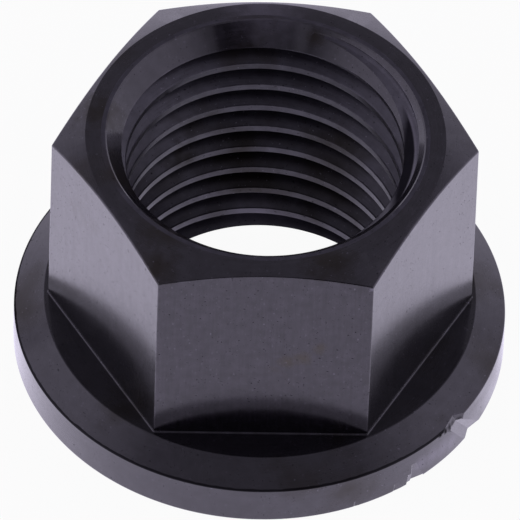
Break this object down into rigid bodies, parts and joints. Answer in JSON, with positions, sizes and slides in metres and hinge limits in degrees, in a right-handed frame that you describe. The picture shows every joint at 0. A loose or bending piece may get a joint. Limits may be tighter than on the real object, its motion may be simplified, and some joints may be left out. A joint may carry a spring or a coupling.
{
  "type": "collar nut",
  "caption": "Tall hexagon nut with a round collar at its foot, a threaded bore through it and blackened steel surfaces.",
  "frame": {"origin": "centre of the collar's flat seat, where the nut stands", "axes": "+Z along the thread axis from the seat to the hexagon's top, two flats of the hexagon face -Y and +Y, two corners point along -X and +X"},
  "size_m": [0.0318, 0.0318, 0.0192],
  "materials": {
    "blackened_steel": "black oxide on turned and milled steel, smooth and half glossy"
  },
  "bodies": {
    "root": {"collar_nut": "blackened_steel"}
  },
  "joints": []
}
